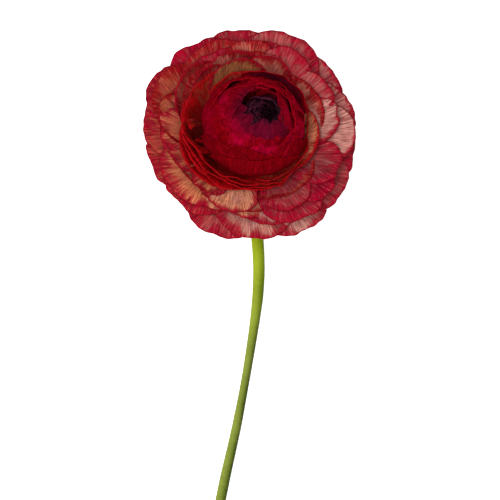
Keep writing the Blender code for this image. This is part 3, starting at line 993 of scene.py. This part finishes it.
# --- stalk
@dataclass
class Stalk:
    """Bare stalk: bent at the neck, then along the ground to a clean cut."""

    # (x, y, radius) from the CAD model's lowest corner.
    knots: tuple[Triple, ...] = (
        (43.08, 150.2, 2.35), (44.93, 139.7, 2.44), (45.83, 129.2, 2.52), (46.4, 119.3, 2.44),
        (46.0, 107.7, 2.3), (45.05, 99.2, 2.12), (43.6, 89.2, 1.9), (41.0, 73.2, 1.76),
        (37.0, 52.2, 1.92), (32.4, 31.7, 2.12), (28.8, 13.7, 2.14), (25.8, 0.4, 2.15))
    # How deep it sinks into the ground, where the receptacle ends, and the gap below that.
    sunk: float = 0.12
    calyx_end: float = 4.6
    gap: float = 0.05
    # The neck: its radius, how much thinner each step is, the length of its bend, a step's
    # share of that, the level direction that it turns to, and how far above the stalk's
    # line it ends.
    neck_radius: float = 2.55
    neck_taper: float = 0.05
    neck_bend: float = 12.6
    neck_step: float = 0.245
    neck_steps: int = 5
    neck_out: Triple = (0.35, -1.0, 0.0)
    neck_clear: float = 0.35
    sides: int = 36
    rings: int = 150
    # Steps between two knots, and how often the line is smoothed.
    fine: int = 24
    passes: int = 12
    length_cm: float = 18.0
    # Rings of the cut face, as shares of the radius: skin, flesh and pith.
    cut_rings: Triple = (0.12, 0.38, 0.08)
    # Green skin with a painted lit side and a painted shaded side.
    finish: GreenFinish = GreenFinish(
        name="stalk_skin", bright="#82920a", deep="#586604", low="#263204", pale="#707a30")

    def neck(self, axis: BloomAxis) -> list[tuple[Vector, float]]:
        """Centre line from the receptacle round the bend.

        Args:
            axis: place of the bloom.

        Returns:
            (point, radius) pairs in millimetres.
        """
        along = axis.turn() @ Vector((0, 0, 1))
        start = axis.origin() - along * (self.calyx_end + self.gap)
        level = Vector(self.neck_out).normalized()
        floor = self.knots[0][2] - self.sunk
        points = [(start, self.neck_radius)]
        for i in range(1, self.neck_steps):
            turn = (-along).lerp(level, (i / self.neck_steps) ** 1.15).normalized()
            points.append((points[-1][0] + turn * self.neck_bend * self.neck_step,
                           self.neck_radius - self.neck_taper * i))
        scale = (start.z - floor - self.neck_clear) / (start.z - points[-1][0].z)
        return [(Vector((p.x, p.y, start.z - (start.z - p.z) * scale)), r) for p, r in points]

    def centre_line(self, axis: BloomAxis) -> tuple[Array, Array]:
        """Smooth centre line through all the knots.

        Args:
            axis: place of the bloom.

        Returns:
            Ring centres and radii in millimetres.
        """
        path, low = self.neck(axis), axis.corner
        path += [(Vector((low.x + x, low.y + y, r - self.sunk)), r) for x, y, r in self.knots]
        knots = np.array([[*p, r] for p, r in path])
        knots = np.vstack([2 * knots[0] - knots[1], knots, 2 * knots[-1] - knots[-2]])
        out = []
        for i in range(1, len(knots) - 2):
            t = np.linspace(0, 1, self.fine, endpoint=i == len(knots) - 3)[:, None]
            p0, p1, p2, p3 = knots[i - 1:i + 3]
            gap = np.linalg.norm(p2[:3] - p1[:3])
            m1 = (p2 - p0) / (np.linalg.norm((p2 - p0)[:3]) + 1e-9) * gap
            m2 = (p3 - p1) / (np.linalg.norm((p3 - p1)[:3]) + 1e-9) * gap
            out.append((2 * t ** 3 - 3 * t ** 2 + 1) * p1 + (t ** 3 - 2 * t ** 2 + t) * m1
                       + (-2 * t ** 3 + 3 * t ** 2) * p2 + (t ** 3 - t ** 2) * m2)
        line = np.vstack(out)
        run = np.concatenate([[0.0], np.cumsum(np.linalg.norm(np.diff(line[:, :3], axis=0), axis=1))])
        even = np.linspace(0, run[-1], self.rings + 1)
        rings = np.stack([np.interp(even, run, line[:, k]) for k in range(4)], axis=1)
        for _ in range(self.passes):
            rings[1:-1] = 0.25 * rings[:-2] + 0.5 * rings[1:-1] + 0.25 * rings[2:]
        return rings[:, :3], rings[:, 3]

    def build(self, axis: BloomAxis) -> Object:
        """Model the stalk from a cylinder cut into rings, and dress it.

        Args:
            axis: place of the bloom.

        Returns:
            The finished piece.
        """
        deselect()
        bpy.ops.mesh.primitive_cylinder_add(vertices=self.sides, radius=1, depth=1, location=(0, 0, 0.5))
        obj = bpy.context.object
        bpy.ops.object.transform_apply()
        bpy.ops.object.mode_set(mode="EDIT")
        bpy.ops.mesh.select_all(action="DESELECT")
        bm = bmesh.from_edit_mesh(obj.data)
        for edge in bm.edges:
            edge.select = abs(edge.verts[0].co.z - edge.verts[1].co.z) > 0.5
        bmesh.update_edit_mesh(obj.data)
        bpy.ops.mesh.subdivide(number_cuts=self.rings - 1, quadcorner="STRAIGHT_CUT")
        bpy.ops.mesh.select_all(action="DESELECT")
        bm = bmesh.from_edit_mesh(obj.data)
        for face in bm.faces:
            face.select = all(vert.co.z > 0.999 for vert in face.verts)
        bmesh.update_edit_mesh(obj.data)
        for thickness in self.cut_rings:
            bpy.ops.mesh.inset(thickness=thickness)
        bpy.ops.object.mode_set(mode="OBJECT")
        self.bend(obj, *self.centre_line(axis))
        obj.name = "stalk"
        bpy.ops.object.shade_smooth_by_angle(angle=math.radians(40))
        obj.data.materials.append(self.finish.build())
        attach(obj, "root")
        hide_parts("stem")
        return obj

    def bend(self, obj: Object, centres: Array, radii: Array) -> None:
        """Take the straight unit cylinder on to the centre line.

        Args:
            obj: cylinder from z 0, the neck, to z 1, the cut.
            centres: ring centres in millimetres.
            radii: radius of each ring.
        """
        flat = mesh_points(obj.data)
        tangent = np.gradient(centres, axis=0)
        tangent /= np.linalg.norm(tangent, axis=1)[:, None]
        side = np.cross(tangent, np.array([0.0, 0.0, 1.0]))
        side /= np.linalg.norm(side, axis=1)[:, None]
        over = np.cross(side, tangent)
        row = np.clip(np.rint(flat[:, 2] * self.rings).astype(int), 0, self.rings)
        angle = np.arctan2(flat[:, 1], flat[:, 0])
        along = row / self.rings
        # Five faint ribs that wind a little, and slow swellings down the stalk.
        rib = 1 + 0.012 * np.sin(5 * angle + 2.0 * along) + 0.008 * np.sin(40 * along + 2 * angle)
        size = np.hypot(flat[:, 0], flat[:, 1]) * radii[row] * rib
        points = centres[row] + side[row] * (np.cos(angle) * size)[:, None]
        points += over[row] * (np.sin(angle) * size)[:, None]
        set_values(obj.data, "run", along * self.length_cm)
        set_values(obj.data, "fan", angle)
        points[:, 2] = np.maximum(points[:, 2], 0.0)
        set_points(obj.data, points * MM)


# --- stage
@dataclass(frozen=True)
class Studio:
    """Pale floor, soft light and a camera that looks straight down, in metres and watts."""

    camera: Triple = (0.0009, 0.0183, 0.72)
    lens_mm: float = 126.0
    floor_size: float = 6.0
    floor_colour: str = "#f4f4f4"
    floor_glow: float = 0.42
    room_glow: float = 0.58
    aim: Triple = (0.0, 0.06, 0.02)
    # Name, place, edge length and power of each square lamp.
    lamps: tuple[tuple[str, Triple, float, float], ...] = (
        ("key", (-0.2, 0.0, 0.88), 0.5, 12.8), ("fill", (0.6, -0.3, 0.9), 0.9, 4.0))

    def floor(self) -> None:
        """Lay the floor, of matt white card that glows a little, so that shadows stay soft."""
        deselect()
        bpy.ops.mesh.primitive_plane_add(size=self.floor_size)
        floor = bpy.context.object
        floor.name = "floor"
        material, add = new_material("matt_card")
        card = add("BsdfPrincipled", named={
            "Base Color": self.floor_colour, "Roughness": 0.9,
            "Emission Color": (1, 1, 1, 1), "Emission Strength": self.floor_glow})
        add("OutputMaterial", card)
        floor.data.materials.append(material)
        floor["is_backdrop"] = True

    def light(self) -> None:
        """Hang the soft lamps and light the room evenly."""
        for name, place, size, power in self.lamps:
            lamp = bpy.data.lights.new(name, "AREA")
            lamp.size, lamp.energy = size, power
            obj = bpy.data.objects.new(name, lamp)
            obj.location = place
            obj.rotation_euler = (Vector(self.aim) - Vector(place)).to_track_quat("-Z", "Y").to_euler()
            bpy.context.scene.collection.objects.link(obj)
        scene = bpy.context.scene
        scene.world = bpy.data.worlds.new("soft_room")
        scene.world.use_nodes = True
        room = scene.world.node_tree.nodes["Background"]
        room.inputs["Color"].default_value = (1, 1, 1, 1)
        room.inputs["Strength"].default_value = self.room_glow
        scene.view_settings.view_transform = "Standard"

    def shoot(self) -> None:
        """Set the camera."""
        data = bpy.data.cameras.new("camera")
        data.sensor_width, data.lens = 36.0, self.lens_mm
        camera = bpy.data.objects.new("camera", data)
        camera.location = self.camera
        scene = bpy.context.scene
        scene.collection.objects.link(camera)
        scene.camera = camera


def main() -> None:
    """Build the stage and the flower."""
    logging.basicConfig(level=logging.INFO, format="%(name)s: %(message)s")
    low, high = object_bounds()
    axis = BloomAxis(corner=Vector(low) / MM)
    studio = Studio()
    studio.floor()
    studio.light()
    studio.shoot()
    for part in (*WHORLS, Calyx(), Stalk()):
        piece = part.build(axis)
        LOG.info("%s: %d faces", piece.name, len(piece.data.polygons))


if __name__ == "__main__":
    main()
